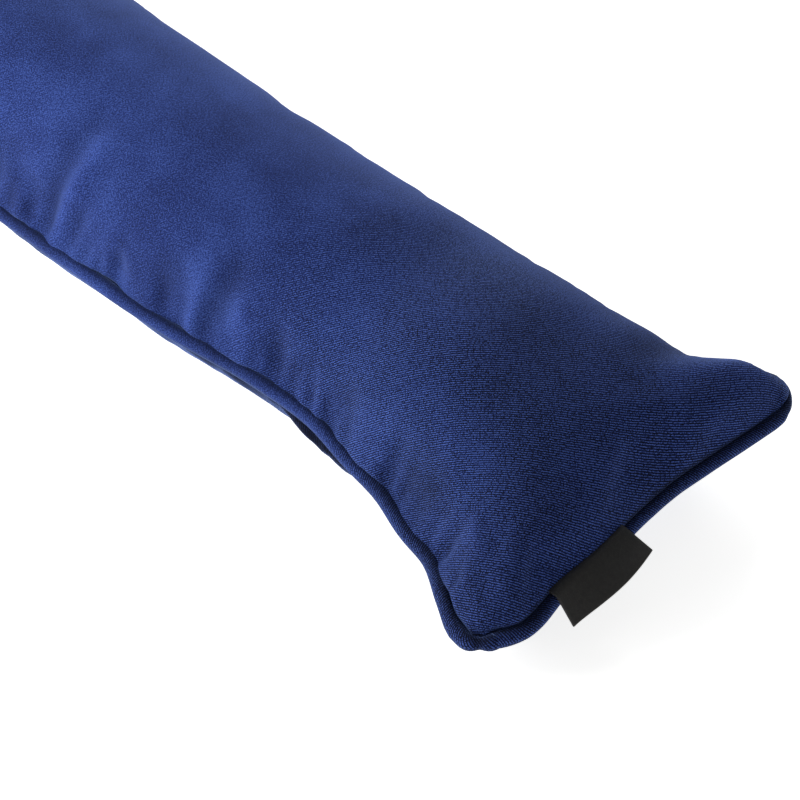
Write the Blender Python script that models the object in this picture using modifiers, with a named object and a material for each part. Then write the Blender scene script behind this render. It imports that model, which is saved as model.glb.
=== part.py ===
"""A draught excluder: a long filled velvet cushion with a piped edge and a folded label in one end seam.

Metres, +Z up. The cushion lies on its back on z = 0. Its length runs along X, with the labelled end at +X.
It is laid out round the middle of its panels, and its carrier then brings the middle of the whole to the origin.
Places on a panel are given as a maker would measure them: `at` is the distance from the labelled end seam,
and `across` is the distance along the cloth from the panel's centre line, negative towards -Y.
"""

import math
from typing import NamedTuple

import bmesh
import bpy
from mathutils import Vector

LENGTH = 0.800  # seam to seam
HALF_PANEL = 0.088  # across the cloth, from the centre line to a side seam
CORNER = 0.010  # radius to which the panels' corners are cut
END_ROUND = 0.113  # distance from an end seam at which the crown is at its full height
END_PULL_REACH = 0.1  # how far along the cushion the pull on an end seam is felt
BELLY = 0.045  # depth of the lower panel below the seam, where the surface doesn't stop it
HELD = 0.35  # fullness below which the seam holds the folds in
ROWS = 136  # rows of faces along the panels between the corners
COLUMNS = 22  # columns of faces across a panel

PIPING_RADIUS = 0.0032
GAP = 0.0003  # between pieces that touch
PIPING_STEPS = 84  # points along each side, between the corners

LABEL_WIDTH = 0.040  # along the seam
LABEL_ACROSS = -0.0305  # the label's middle, in Y
LABEL_LENGTH = 0.0162  # out of the seam to the fold
LABEL_BOW = 0.0010  # how much further out the middle of the fold lies
TAPE = 0.00035  # thickness of the woven tape
TAPE_PITCH = 0.00065  # from one layer of the tape to the other
LABEL_START = 130  # where the tape meets the piping, in degrees round it from straight out
LABEL_LEAVE_NEAR = 48  # where its -Y edge leaves the piping, in the same degrees: it hangs lower there
LABEL_LEAVE_FAR = 86  # where its +Y edge does
LABEL_COLUMNS = 10

VELVET_BLUE = (0.020, 0.036, 0.160, 1.0)
TAPE_BLACK = (0.012, 0.012, 0.013, 1.0)


class Section(NamedTuple):
    """The cushion's cross-section at one distance from the labelled end."""

    at: float
    near: float  # from the X axis to the -Y side seam
    far: float  # from the X axis to the +Y side seam
    seam: float  # height of the side seams, on average
    crown: float  # height of the top panel above the seams
    tilt: float  # rise of the +Y seam, and drop of the -Y one
    shoulder: float  # 2 for an elliptical crown, more for one that stays full nearer the seams


SECTIONS = (
    Section(at=0.000, near=0.0823, far=0.0790, seam=0.0254, crown=0.0520, tilt=0.0105, shoulder=2.60),
    Section(at=0.012, near=0.0795, far=0.0787, seam=0.0244, crown=0.0516, tilt=0.0092, shoulder=2.80),
    Section(at=0.025, near=0.0739, far=0.0749, seam=0.0233, crown=0.0497, tilt=0.0079, shoulder=2.65),
    Section(at=0.042, near=0.0655, far=0.0705, seam=0.0215, crown=0.0522, tilt=0.0060, shoulder=2.20),
    Section(at=0.060, near=0.0616, far=0.0659, seam=0.0202, crown=0.0532, tilt=0.0042, shoulder=2.05),
    Section(at=0.080, near=0.0568, far=0.0625, seam=0.0203, crown=0.0534, tilt=0.0028, shoulder=2.00),
    Section(at=0.100, near=0.0545, far=0.0610, seam=0.0205, crown=0.0514, tilt=0.0017, shoulder=2.00),
    Section(at=0.125, near=0.0505, far=0.0590, seam=0.0206, crown=0.0492, tilt=0.0010, shoulder=2.00),
    Section(at=0.150, near=0.0520, far=0.0550, seam=0.0207, crown=0.0512, tilt=0.0004, shoulder=2.00),
    Section(at=0.180, near=0.0568, far=0.0513, seam=0.0208, crown=0.0526, tilt=0.0000, shoulder=2.00),
    Section(at=0.210, near=0.0614, far=0.0495, seam=0.0208, crown=0.0535, tilt=0.0000, shoulder=2.00),
    Section(at=0.240, near=0.0630, far=0.0482, seam=0.0208, crown=0.0541, tilt=0.0000, shoulder=2.00),
    Section(at=0.270, near=0.0660, far=0.0476, seam=0.0208, crown=0.0545, tilt=0.0000, shoulder=2.00),
    Section(at=0.400, near=0.0680, far=0.0470, seam=0.0210, crown=0.0540, tilt=0.0000, shoulder=2.00),
    Section(at=0.540, near=0.0635, far=0.0495, seam=0.0208, crown=0.0550, tilt=0.0000, shoulder=2.00),
    Section(at=0.620, near=0.0595, far=0.0515, seam=0.0206, crown=0.0530, tilt=0.0000, shoulder=2.00),
    Section(at=0.690, near=0.0590, far=0.0560, seam=0.0204, crown=0.0510, tilt=-0.0010, shoulder=2.00),
    Section(at=0.740, near=0.0635, far=0.0635, seam=0.0206, crown=0.0535, tilt=-0.0030, shoulder=2.20),
    Section(at=0.775, near=0.0750, far=0.0750, seam=0.0230, crown=0.0520, tilt=-0.0050, shoulder=2.60),
    Section(at=0.800, near=0.0845, far=0.0845, seam=0.0250, crown=0.0520, tilt=-0.0060, shoulder=2.80),
)


class EndPull(NamedTuple):
    """How far the stitches and the fill pull an end seam in at one place along it."""

    side: float  # from -1 at the -Y corner to 1 at the +Y one
    inset: float


END_PULLS = (
    EndPull(side=-1.00, inset=0.0054),
    EndPull(side=-0.85, inset=0.0020),
    EndPull(side=-0.60, inset=0.0022),
    EndPull(side=-0.30, inset=0.0032),
    EndPull(side=0.00, inset=0.0057),
    EndPull(side=0.25, inset=0.0060),
    EndPull(side=0.45, inset=0.0045),
    EndPull(side=0.70, inset=0.0022),
    EndPull(side=1.00, inset=0.0015),
)


class Fold(NamedTuple):
    """A soft trough or ridge of the top panel, fading from its start to its end."""

    at: float
    across: float
    to_at: float
    to_across: float
    width: float  # from its middle to where it is 0.6 of its height
    height: float  # negative for a trough


FOLDS = (
    Fold(at=0.029, across=-0.082, to_at=0.016, to_across=-0.058, width=0.0045, height=-0.0036),
    Fold(at=0.071, across=-0.084, to_at=0.052, to_across=-0.055, width=0.0085, height=-0.0048),
    Fold(at=0.092, across=-0.084, to_at=0.088, to_across=-0.064, width=0.0050, height=0.0014),
    Fold(at=0.117, across=-0.085, to_at=0.111, to_across=-0.058, width=0.0045, height=-0.0034),
    Fold(at=0.126, across=-0.085, to_at=0.124, to_across=-0.064, width=0.0040, height=0.0016),
    Fold(at=0.140, across=-0.085, to_at=0.137, to_across=-0.062, width=0.0036, height=-0.0028),
    Fold(at=0.152, across=-0.085, to_at=0.152, to_across=-0.060, width=0.0036, height=-0.0024),
    Fold(at=0.170, across=-0.084, to_at=0.172, to_across=-0.054, width=0.0050, height=0.0018),
    Fold(at=0.181, across=-0.086, to_at=0.181, to_across=-0.036, width=0.0044, height=-0.0052),
    Fold(at=0.189, across=-0.084, to_at=0.190, to_across=-0.048, width=0.0042, height=0.0030),
    Fold(at=0.203, across=-0.085, to_at=0.206, to_across=-0.052, width=0.0070, height=-0.0034),
    Fold(at=0.229, across=-0.085, to_at=0.228, to_across=-0.060, width=0.0050, height=-0.0014),
    Fold(at=0.253, across=-0.085, to_at=0.255, to_across=-0.060, width=0.0042, height=-0.0036),
    Fold(at=0.261, across=-0.084, to_at=0.261, to_across=-0.026, width=0.0042, height=0.0034),
    Fold(at=0.270, across=-0.086, to_at=0.266, to_across=-0.020, width=0.0050, height=-0.0056),
    Fold(at=0.284, across=-0.086, to_at=0.283, to_across=-0.062, width=0.0040, height=-0.0018),
    Fold(at=0.300, across=-0.085, to_at=0.302, to_across=-0.050, width=0.0065, height=-0.0026),
    Fold(at=0.345, across=-0.085, to_at=0.341, to_across=-0.040, width=0.0060, height=-0.0026),
    Fold(at=0.372, across=-0.085, to_at=0.374, to_across=-0.055, width=0.0060, height=-0.0016),
    Fold(at=0.430, across=-0.085, to_at=0.436, to_across=-0.030, width=0.0065, height=-0.0032),
    Fold(at=0.482, across=-0.085, to_at=0.480, to_across=-0.058, width=0.0060, height=-0.0018),
    Fold(at=0.545, across=-0.085, to_at=0.541, to_across=-0.040, width=0.0060, height=-0.0030),
    Fold(at=0.612, across=-0.085, to_at=0.618, to_across=-0.055, width=0.0060, height=-0.0022),
    Fold(at=0.668, across=-0.085, to_at=0.672, to_across=-0.058, width=0.0055, height=-0.0018),
    Fold(at=0.731, across=-0.084, to_at=0.748, to_across=-0.050, width=0.0085, height=-0.0042),
    Fold(at=0.038, across=0.080, to_at=0.038, to_across=0.022, width=0.0068, height=-0.0048),
    Fold(at=0.014, across=0.062, to_at=0.026, to_across=0.022, width=0.0050, height=0.0016),
    Fold(at=0.112, across=0.085, to_at=0.116, to_across=0.050, width=0.0060, height=-0.0026),
    Fold(at=0.166, across=0.085, to_at=0.161, to_across=0.056, width=0.0055, height=-0.0020),
    Fold(at=0.234, across=0.085, to_at=0.238, to_across=0.040, width=0.0065, height=-0.0030),
    Fold(at=0.311, across=0.085, to_at=0.306, to_across=0.052, width=0.0060, height=-0.0024),
    Fold(at=0.386, across=0.085, to_at=0.389, to_across=0.044, width=0.0065, height=-0.0030),
    Fold(at=0.455, across=0.085, to_at=0.452, to_across=0.056, width=0.0060, height=-0.0020),
    Fold(at=0.528, across=0.085, to_at=0.534, to_across=0.040, width=0.0065, height=-0.0030),
    Fold(at=0.604, across=0.085, to_at=0.600, to_across=0.054, width=0.0060, height=-0.0022),
    Fold(at=0.680, across=0.085, to_at=0.684, to_across=0.052, width=0.0060, height=-0.0022),
    Fold(at=0.738, across=0.085, to_at=0.756, to_across=0.040, width=0.0085, height=-0.0046),
    Fold(at=0.060, across=0.004, to_at=0.150, to_across=0.016, width=0.0180, height=-0.0018),
    Fold(at=0.340, across=0.010, to_at=0.400, to_across=-0.006, width=0.0200, height=-0.0018),
    Fold(at=0.560, across=-0.004, to_at=0.620, to_across=0.010, width=0.0200, height=-0.0018),
)


def smooth(table, place):
    """The row of a table at any place in its first column, on a smooth curve through its rows."""
    last = len(table) - 1
    i = next((k for k in range(last) if place <= table[k + 1][0]), last - 1)
    before, here, there, after = (table[min(max(k, 0), last)] for k in (i - 1, i, i + 1, i + 2))
    span = there[0] - here[0]
    t = (place - here[0]) / span
    values = []
    for a, b, c, d in zip(before, here, there, after):
        slope_b = (c - a) / (there[0] - before[0]) * span
        slope_c = (d - b) / (after[0] - here[0]) * span
        values.append(
            (2 * t**3 - 3 * t**2 + 1) * b
            + (t**3 - 2 * t**2 + t) * slope_b
            + (3 * t**2 - 2 * t**3) * c
            + (t**3 - t**2) * slope_c
        )
    return type(here)(*values)


def arch(t):
    """A quarter circle's rise, from 0 at t = 0 to 1 at t = 1 and beyond."""
    return math.sqrt(1 - (1 - min(max(t, 0), 1)) ** 2)


def from_end(at):
    return min(at, LENGTH - at)


def fullness(at, side, shoulder=2.0):
    """How far the fill lifts a panel off its seam, from 0 on the seam to 1. `side` runs from -1 to 1 across it."""
    return arch(from_end(at) / END_ROUND) * max(1 - abs(side) ** shoulder, 0) ** (1 / shoulder)


def seam_plane_point(at, side):
    """The point of the plane through the seams under a panel's point: on the seam itself where the fullness is 0."""
    section = smooth(SECTIONS, at)
    half_width = (section.near + section.far) / 2
    rounding = CORNER * (1 - arch(from_end(at) / CORNER))
    inset = smooth(END_PULLS, side).inset * max(1 - from_end(at) / END_PULL_REACH, 0)
    x = LENGTH / 2 - at
    y = side * (half_width - rounding)
    z = section.seam + section.tilt * y / half_width
    return Vector((x - math.copysign(inset, x), y + (section.far - section.near) / 2, z))


def side_of_end(y):
    """Where along the labelled end seam, from -1 to 1, a place at `y` lies."""
    end = SECTIONS[0]
    return (y - (end.far - end.near) / 2) / ((end.far + end.near) / 2 - CORNER)


def fold_height(at, across):
    """How far the folds move the top panel's cloth out or in at a place on it."""
    total = 0.0
    for fold in FOLDS:
        start = Vector((fold.at, fold.across))
        run = Vector((fold.to_at, fold.to_across)) - start
        place = Vector((at, across)) - start
        along = place.dot(run) / run.length_squared
        nearest = run * min(max(along, 0), 1)
        fade = math.cos(min(max(along, 0), 1) * math.pi / 2) ** 0.7
        total += fold.height * fade * math.exp(-0.5 * ((place - nearest).length / fold.width) ** 2)
    return total


def stations(steps):
    """Distances from the labelled end: close together round the corners, even between them."""
    corner = [CORNER * (1 - math.cos(math.radians(turn))) for turn in (0, 20, 40, 58, 74)]
    between = [CORNER + (LENGTH - 2 * CORNER) * i / steps for i in range(steps + 1)]
    return corner + between + [LENGTH - at for at in reversed(corner)]


def sides():
    """Places across a panel, from -1 to 1, even along the cloth."""
    return [math.sin(math.pi / 2 * (2 * i / COLUMNS - 1)) for i in range(COLUMNS + 1)]


def grid(rows, columns, place):
    """A bmesh grid with its point at row i and column j put at place(i, j). Row 0 is at its +X end."""
    bm = bmesh.new()
    bmesh.ops.create_grid(bm, x_segments=rows, y_segments=columns, size=1)
    for vert in bm.verts:
        vert.co = place(round((1 - vert.co.x) / 2 * rows), round((vert.co.y + 1) / 2 * columns))
    return bm


def add_object(name, data, material, parts):
    obj = bpy.data.objects.new(name, data)
    obj.data.materials.append(material)
    parts.objects.link(obj)
    return obj


def fabric(name, colour, roughness, sheen):
    material = bpy.data.materials.new(name)
    material.use_nodes = True
    shader = material.node_tree.nodes["Principled BSDF"]
    shader.inputs["Base Color"].default_value = colour
    shader.inputs["Roughness"].default_value = roughness
    shader.inputs["Metallic"].default_value = 0.0
    shader.inputs["Sheen Weight"].default_value = sheen
    return material


def top_panel(rows, across):
    """The upper panel: crowned, then moved along its own normals by the folds, but for its seam."""
    crowned = [[seam_plane_point(at, side) for side in across] for at in rows]
    for at, points in zip(rows, crowned):
        section = smooth(SECTIONS, at)
        for side, point in zip(across, points):
            point.z += section.crown * fullness(at, side, section.shoulder)

    def folded(i, j):
        point = crowned[i][j]
        if i in (0, len(rows) - 1) or j in (0, len(across) - 1):
            return point
        widthways = crowned[i][j + 1] - crowned[i][j - 1]
        lengthways = crowned[i + 1][j] - crowned[i - 1][j]
        cloth = HALF_PANEL * math.asin(across[j]) / (math.pi / 2)
        held = min(fullness(rows[i], across[j]) / HELD, 1)
        return point + widthways.cross(lengthways).normalized() * fold_height(rows[i], cloth) * held

    return grid(len(rows) - 1, len(across) - 1, folded)


def bottom_panel(rows, across):
    """The lower panel: it hangs below the seam, and lies flat where the surface carries it."""

    def hung(i, j):
        point = seam_plane_point(rows[i], across[j])
        point.z = max(point.z - BELLY * fullness(rows[i], across[j]), 0)
        return point

    bm = grid(len(rows) - 1, len(across) - 1, hung)
    bmesh.ops.reverse_faces(bm, faces=bm.faces)
    return bm


def make_cushion(material, parts):
    """Both panels, sewn together along their seam, with one flat face where the lower one rests."""
    rows, across = stations(ROWS), sides()
    mesh = bpy.data.meshes.new("cushion")
    bm = bmesh.new()
    for panel in (top_panel(rows, across), bottom_panel(rows, across)):
        panel.to_mesh(mesh)
        panel.free()
        bm.from_mesh(mesh)
    bmesh.ops.remove_doubles(bm, verts=bm.verts, dist=1e-6)
    resting = [face for face in bm.faces if all(vert.co.z == 0 for vert in face.verts)]
    bmesh.ops.dissolve_faces(bm, faces=resting, use_verts=True)
    bm.to_mesh(mesh)
    bm.free()
    mesh.shade_smooth()
    mesh.set_sharp_from_angle(angle=math.radians(50))
    return add_object("cushion", mesh, material, parts)


def seam_loop(steps):
    """The seam's points, once round the cushion from the labelled end's -Y corner."""
    rows, across = stations(steps), sides()
    near = [seam_plane_point(at, -1) for at in rows]
    far = [seam_plane_point(at, 1) for at in rows]
    labelled = [seam_plane_point(0, side) for side in across[1:-1]]
    plain = [seam_plane_point(LENGTH, side) for side in across[1:-1]]
    return labelled + far + plain[::-1] + near[::-1]


def outward(before, after):
    """The level direction out of the cushion, for a seam that runs anticlockwise seen from above."""
    run = after - before
    return Vector((run.y, -run.x, 0)).normalized()


def make_piping(material, parts):
    """A covered cord all round, just outside the seam."""
    loop = seam_loop(PIPING_STEPS)
    curve = bpy.data.curves.new("piping", "CURVE")
    curve.dimensions = "3D"
    curve.bevel_depth = PIPING_RADIUS
    curve.bevel_resolution = 2
    spline = curve.splines.new("POLY")
    spline.points.add(len(loop) - 1)
    spline.use_cyclic_u = True
    spline.use_smooth = True
    for i, point in enumerate(loop):
        out = outward(loop[i - 1], loop[(i + 1) % len(loop)])
        spline.points[i].co = (*(point + out * (PIPING_RADIUS + GAP)), 1)
    return add_object("piping", curve, material, parts)


def tape_path(leave, length):
    """The folded tape's middle line as (out, up) from the seam: over the piping, out to the fold, and back on top.

    It leaves the piping `leave` degrees round it from straight out, and `length` is that of the lower layer.
    """
    centre = Vector((PIPING_RADIUS + GAP, 0))
    lower = PIPING_RADIUS + GAP + TAPE / 2
    upper = lower + TAPE_PITCH
    turns = [math.radians(LABEL_START + (leave - LABEL_START) * i / 5) for i in range(6)]
    off = Vector((math.cos(turns[-1]), math.sin(turns[-1])))
    run = Vector((off.y, -off.x))
    straight = length - lower * (turns[0] - turns[-1])

    def layer(radius):
        arc = [centre + radius * Vector((math.cos(turn), math.sin(turn))) for turn in turns]
        return arc + [arc[-1] + run * straight * i / 4 for i in range(1, 5)]

    middle = centre + off * (lower + upper) / 2 + run * straight
    half = TAPE_PITCH / 2
    fold = [
        middle + run * half * math.sin(math.radians(turn)) - off * half * math.cos(math.radians(turn))
        for turn in (45, 90, 135)
    ]
    return layer(lower) + fold + layer(upper)[::-1]


def make_label(material, parts):
    """A tape folded in two over the piping. Its -Y side hangs lower than the other."""
    points = len(tape_path(LABEL_LEAVE_NEAR, LABEL_LENGTH))

    def place(i, j):
        share = j / LABEL_COLUMNS
        y = LABEL_ACROSS + LABEL_WIDTH * (share - 0.5)
        seam = seam_plane_point(0, side_of_end(y))
        leave = LABEL_LEAVE_NEAR + (LABEL_LEAVE_FAR - LABEL_LEAVE_NEAR) * share
        length = LABEL_LENGTH + LABEL_BOW * (1 - (2 * share - 1) ** 2)
        out, up = tape_path(leave, length)[i]
        return seam + Vector((out, 0, up))

    bm = grid(points - 1, LABEL_COLUMNS, place)
    mesh = bpy.data.meshes.new("label")
    bm.to_mesh(mesh)
    bm.free()
    label = add_object("label", mesh, material, parts)
    thickness = label.modifiers.new("tape thickness", "SOLIDIFY")
    thickness.thickness = TAPE
    thickness.offset = 0
    return label


def centre(parts):
    """An empty that carries every part, moved so that the middle of their box's underside is the origin."""
    bpy.context.view_layer.update()
    corners = [Vector(corner) for part in parts.objects for corner in part.bound_box]
    middle = [(min(c[axis] for c in corners) + max(c[axis] for c in corners)) / 2 for axis in (0, 1)]
    carrier = bpy.data.objects.new("draught excluder", None)
    carrier.location = (-middle[0], -middle[1], 0)
    for part in parts.objects:
        part.parent = carrier
    parts.objects.link(carrier)


def main():
    for obj in list(bpy.data.objects):
        bpy.data.objects.remove(obj, do_unlink=True)
    parts = bpy.data.collections.new("draught excluder")
    bpy.context.scene.collection.children.link(parts)
    velvet = fabric("velvet", VELVET_BLUE, roughness=0.85, sheen=0.6)
    tape = fabric("woven tape", TAPE_BLACK, roughness=0.6, sheen=0.1)
    make_cushion(velvet, parts)
    make_piping(velvet, parts)
    make_label(tape, parts)
    centre(parts)


main()
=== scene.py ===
"""The looks of a draught excluder: a long filled velvet cushion, its piped edge and its folded label.

Laid out as a Blender add-on and run as a script. Metres, +Z up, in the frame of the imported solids.
Places on a panel are given as a maker would measure them: `at` is the distance from the labelled end seam,
and `across` is the distance along the cloth from the panel's centre line, negative towards -Y.
"""

import math
import random
from functools import partial
from itertools import starmap
from typing import NamedTuple

import bpy
import numpy as np
from mathutils import Matrix, Vector


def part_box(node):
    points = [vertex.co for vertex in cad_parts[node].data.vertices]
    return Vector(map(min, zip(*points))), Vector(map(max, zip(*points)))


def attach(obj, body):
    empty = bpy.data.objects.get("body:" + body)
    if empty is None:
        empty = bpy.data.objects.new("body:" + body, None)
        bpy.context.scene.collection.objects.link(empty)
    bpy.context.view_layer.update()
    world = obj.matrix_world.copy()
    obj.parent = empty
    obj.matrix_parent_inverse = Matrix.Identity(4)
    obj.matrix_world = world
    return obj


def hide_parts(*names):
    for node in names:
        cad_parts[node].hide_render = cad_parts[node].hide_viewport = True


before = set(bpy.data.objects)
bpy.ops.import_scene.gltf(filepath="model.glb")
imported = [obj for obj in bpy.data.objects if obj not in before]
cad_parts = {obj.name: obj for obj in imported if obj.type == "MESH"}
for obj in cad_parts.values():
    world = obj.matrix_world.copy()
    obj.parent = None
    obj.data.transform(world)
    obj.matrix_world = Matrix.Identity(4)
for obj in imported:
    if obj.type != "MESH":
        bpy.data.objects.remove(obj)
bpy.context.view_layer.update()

bl_info = {
    "name": "Draught excluder",
    "version": (1, 0, 0),
    "blender": (4, 5, 0),
    "location": "3D View > Sidebar > Draught excluder",
    "description": "Sews, fills, pipes and labels a velvet draught excluder round its packed solids",
    "category": "Object",
}

LENGTH = 0.800  # seam to seam
HALF_PANEL = 0.088  # across the cloth, from the centre line to a side seam
CORNER = 0.0065  # radius to which the panels' corners are cut
END_ROUND = 0.113  # distance from an end seam at which the crown is at its full height
END_PULL_REACH = 0.1  # how far along the cushion the pull on an end seam is felt
BELLY = 0.045  # depth of the lower panel below the seam, where the surface doesn't stop it
HELD = 0.35  # fullness below which the seam holds the folds in
ROWS = 214  # rows of faces along the panels between the corners
COLUMNS = 52  # columns of faces across a panel
CORNER_TURNS = (0, 9, 18, 27, 37, 48, 60, 74)  # degrees round a corner at which there is a row
OVER_CORD = 0.0030  # how far the fill pushes the upper panel out over the piping
OVER_CORD_AT = 0.0048  # height above the seam at which it does so most
OVER_CORD_BARE = (0.014, 0.03)  # along and across, round the -Y corner of the labelled end, where it doesn't
HANG = 0.0082  # how far the lower panel hangs out past its near side seam, where the waist is narrowest
HANG_AT = 0.126  # distance of that place from the labelled end
HANG_LENGTH = 0.024  # along the cushion, to where it is 0.6 as far
FOLD_SHOWN = 0.0045  # height of a fold at which the painted shade of a trough, and the painted highlight of a ridge, are at full strength
END_SEAM_OPEN = 5.0  # how many times sooner than beside a side seam the painted seam shade fades beside an end one
PANEL_APART = 0.3  # from the upper panel to the lower one in the cloth's flat layout

GAP = 0.0003  # between pieces that touch
COVER_IN_SHADE = 0.74  # how fast the piping's painted seam shade fades with distance from the seam, beside the upper panel's
LOWER_IN_SHADE = 0.08  # the same for the lower panel, which is painted in shade under the cushion
COVER_BRUSHED = 0.035  # how much nearer an end than on a panel the rows on the piping are brushed out
SEWN_AGAINST = 0.82  # distance of the cord's middle from the seam, as a share of its radius
CORD_DROP = 0.0010  # of the cord's middle below the seam, pushed down by the upper panel
TAPE_PITCH = 0.00065  # from one layer of the label's tape to the other
LABEL_START = 130  # where the tape meets the piping, in degrees round it from straight out
LABEL_LEAVE_NEAR = 48  # where its -Y edge leaves the piping, in the same degrees: it hangs lower there
LABEL_LEAVE_FAR = 86  # where its +Y edge does
LABEL_COLUMNS = 40
LOOP_STEPS = 200  # of the piping's path along each side

FRAMES = 20  # of the filling's simulation
MAX_SWELL = 0.005  # how far the filling may move the cloth
SLACK_AT_START = 0.985  # height of the panels before they are filled, as a share of the filled height

PHOTO_WIDTH = 800  # pixels
SENSOR = 36  # millimetres
LOOKED_AT = (0.2768, -0.0074, 0)  # the middle of the view, from the middle of the panels
LIT_AT = (0.15, 0, 0.03)  # where the lamps point
FLOOR_HALF = 8.0
MILLIMETRES = 1000  # to the metre


class Section(NamedTuple):
    """The cushion's cross-section at one distance from the labelled end."""

    at: float
    near: float  # from the X axis to the -Y side seam
    far: float  # from the X axis to the +Y side seam
    seam: float  # height of the side seams, on average
    crown: float  # height of the top panel above the seams
    tilt: float  # rise of the +Y seam, and drop of the -Y one
    shoulder: float  # 2 for an elliptical crown, more for one that stays full nearer the seams


SECTIONS = tuple(starmap(Section, (
    # at, near, far, seam, crown, tilt, shoulder
    (0.000, 0.0823, 0.0812, 0.0254, 0.0520, 0.0101, 2.60),
    (0.012, 0.0795, 0.0808, 0.0244, 0.0516, 0.0106, 2.80),
    (0.025, 0.0739, 0.0746, 0.0233, 0.0497, 0.0079, 2.65),
    (0.042, 0.0655, 0.0705, 0.0215, 0.0522, 0.0060, 2.20),
    (0.060, 0.0616, 0.0659, 0.0202, 0.0532, 0.0042, 2.05),
    (0.080, 0.0568, 0.0625, 0.0203, 0.0534, 0.0028, 2.00),
    (0.100, 0.0545, 0.0610, 0.0205, 0.0514, 0.0017, 2.00),
    (0.125, 0.0505, 0.0590, 0.0206, 0.0492, 0.0010, 2.00),
    (0.150, 0.0520, 0.0550, 0.0207, 0.0512, 0.0004, 2.00),
    (0.180, 0.0568, 0.0513, 0.0208, 0.0526, 0.0000, 2.00),
    (0.210, 0.0614, 0.0495, 0.0208, 0.0535, 0.0000, 2.00),
    (0.240, 0.0630, 0.0482, 0.0208, 0.0541, 0.0000, 2.00),
    (0.270, 0.0660, 0.0476, 0.0208, 0.0545, 0.0000, 2.00),
    (0.400, 0.0680, 0.0470, 0.0210, 0.0540, 0.0000, 2.00),
    (0.540, 0.0635, 0.0495, 0.0208, 0.0550, 0.0000, 2.00),
    (0.620, 0.0595, 0.0515, 0.0206, 0.0530, 0.0000, 2.00),
    (0.690, 0.0590, 0.0560, 0.0204, 0.0510, -0.0010, 2.00),
    (0.740, 0.0635, 0.0635, 0.0206, 0.0535, -0.0030, 2.20),
    (0.775, 0.0750, 0.0750, 0.0230, 0.0520, -0.0050, 2.60),
    (0.800, 0.0845, 0.0845, 0.0250, 0.0520, -0.0060, 2.80),
)))


class EndPull(NamedTuple):
    """How far the stitches and the fill pull an end seam in at one place along it."""

    side: float  # from -1 at the -Y corner to 1 at the +Y one
    inset: float


END_PULLS = tuple(starmap(EndPull, (
    # side, inset
    (-1.00, 0.0054),
    (-0.85, 0.0006),
    (-0.60, 0.0034),
    (-0.30, 0.0038),
    (0.00, 0.0057),
    (0.25, 0.0060),
    (0.45, 0.0045),
    (0.70, 0.0022),
    (1.00, -0.0004),
)))


class Nip(NamedTuple):
    """How far the stitches nip the piping's cover in where the seam turns a corner."""

    at: float
    side: int
    share: float  # of its radius
    reach: float  # from the corner, to where it is 0.6 as deep
    full: float  # share of the radius by which it stands fuller just beside the corner


NIPS = tuple(starmap(Nip, (
    # at, side, share, reach, full
    (0.0, -1, 0.28, 0.0012, 0.10),
    (0.0, 1, 0.40, 0.0050, 0.02),
    (LENGTH, -1, 0.36, 0.0022, 0.08),
    (LENGTH, 1, 0.38, 0.0034, 0.06),
)))
NIP_BESIDE = 0.009  # how far from a corner the piping stands fuller


class Sway(NamedTuple):
    """How far the piping stands out past its even line at one place along the near side."""

    at: float
    out: float


SWAYS = tuple(starmap(Sway, (
    # at, out
    (0.000, 0.0000),
    (0.020, 0.0003),
    (0.044, -0.0005),
    (0.062, 0.0001),
    (0.082, -0.0003),
    (0.110, 0.0002),
    (0.150, 0.0001),
    (0.170, -0.0003),
    (0.194, 0.0003),
    (0.212, -0.0001),
    (0.236, 0.0008),
    (0.264, -0.0004),
    (0.282, -0.0004),
    (0.310, 0.0005),
    (0.350, -0.0003),
    (0.410, 0.0004),
    (0.470, -0.0004),
    (0.540, 0.0004),
    (0.620, -0.0003),
    (0.700, 0.0003),
    (0.800, 0.0000),
)))


class Fold(NamedTuple):
    """A soft trough or ridge of the top panel, fading from its start to its end."""

    at: float
    across: float
    to_at: float
    to_across: float
    width: float  # from its middle to where it is 0.6 of its height
    height: float  # negative for a trough


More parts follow.
